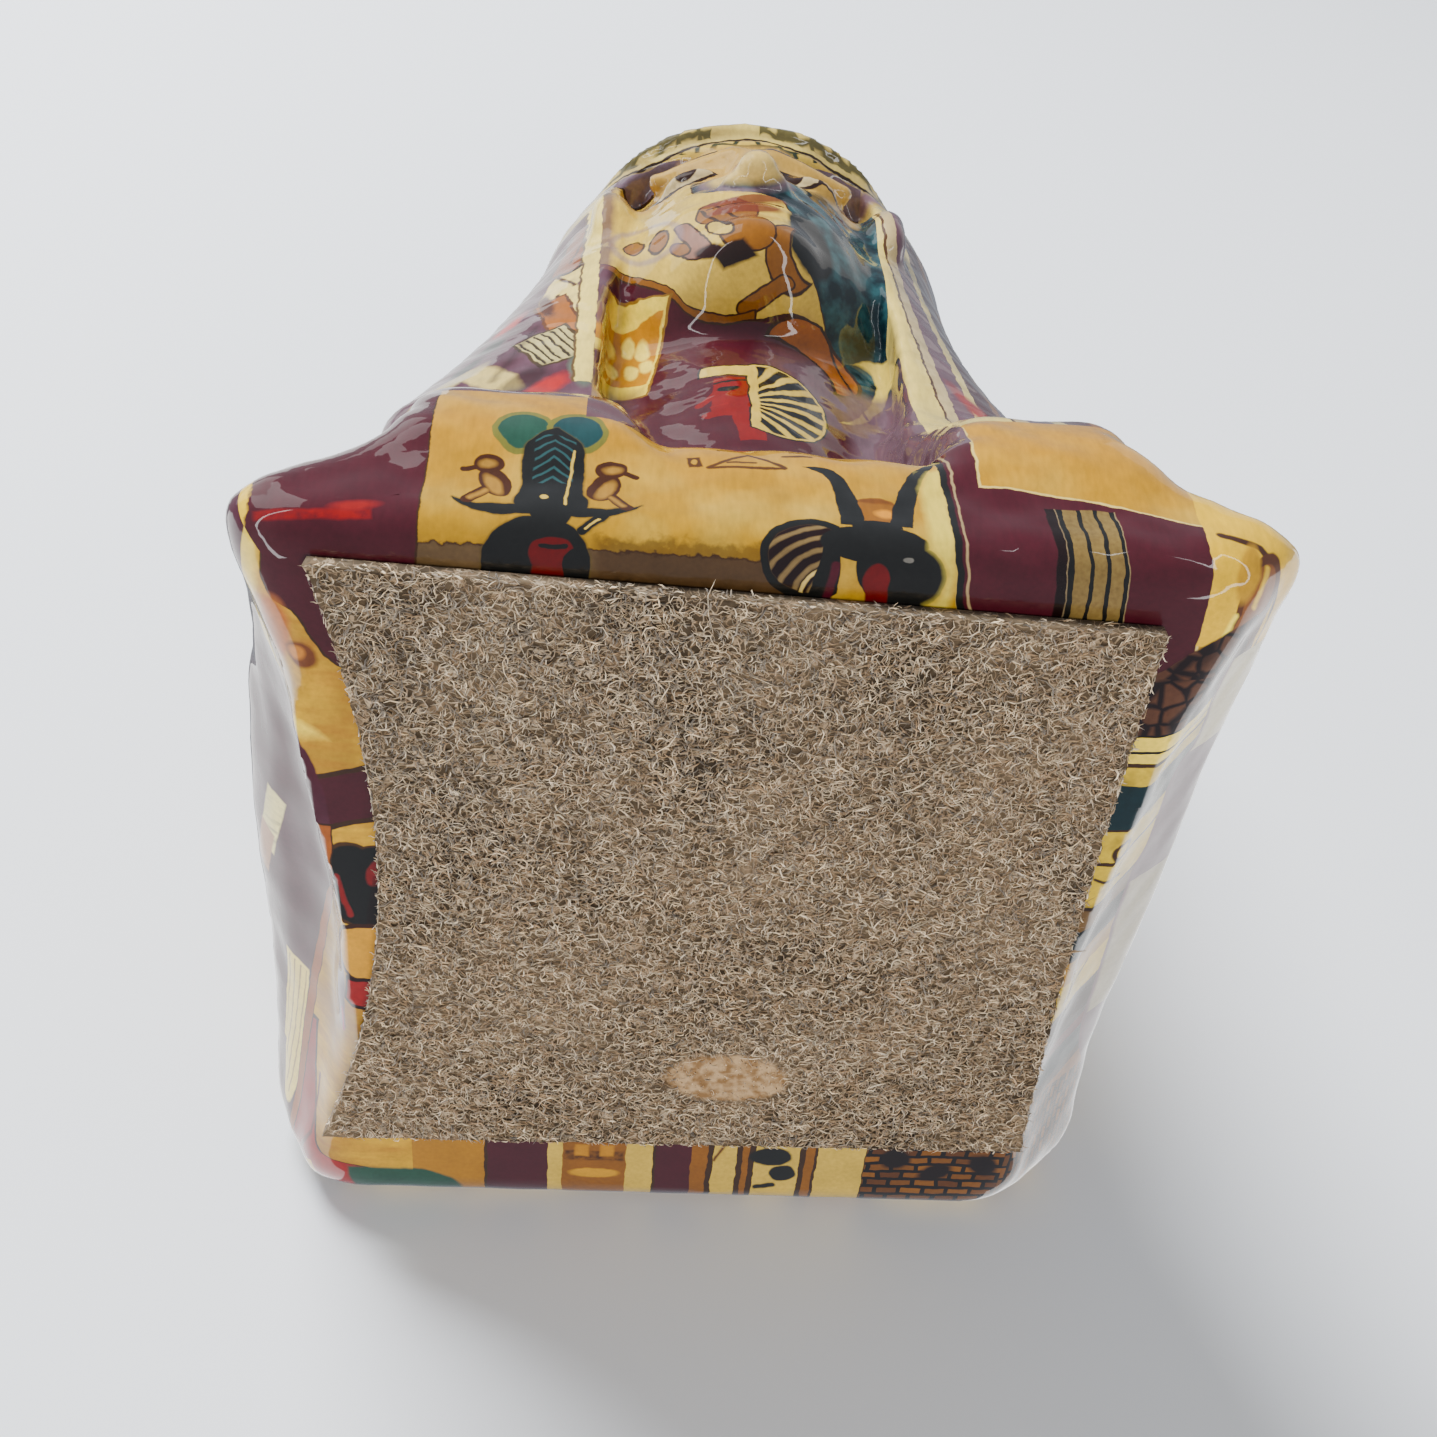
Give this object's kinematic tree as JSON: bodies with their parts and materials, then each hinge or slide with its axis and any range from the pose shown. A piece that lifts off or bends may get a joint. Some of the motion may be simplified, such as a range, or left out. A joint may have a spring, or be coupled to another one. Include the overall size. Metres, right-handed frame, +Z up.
{
  "type": "pharaoh bust",
  "caption": "Small decorative pharaoh bust with a cloth headdress on a square plinth, wrapped in lacquered printed paper, with a felt pad underneath.",
  "frame": {"origin": "centre of the box at the felt pad's underside, which rests on the table", "axes": "+Z up, towards the crown; -Y is the front, where the face looks; +X is to the right for someone facing it"},
  "size_m": [0.0889, 0.085, 0.13],
  "materials": {
    "lacquered_print": "printed paper in mustard, cream, maroon, red, teal and black under thick clear high-gloss lacquer",
    "felt": "matte mottled taupe wool felt with pale stray fibres"
  },
  "bodies": {
    "root": {"bust": "lacquered_print", "felt_pad": "felt"}
  },
  "joints": []
}
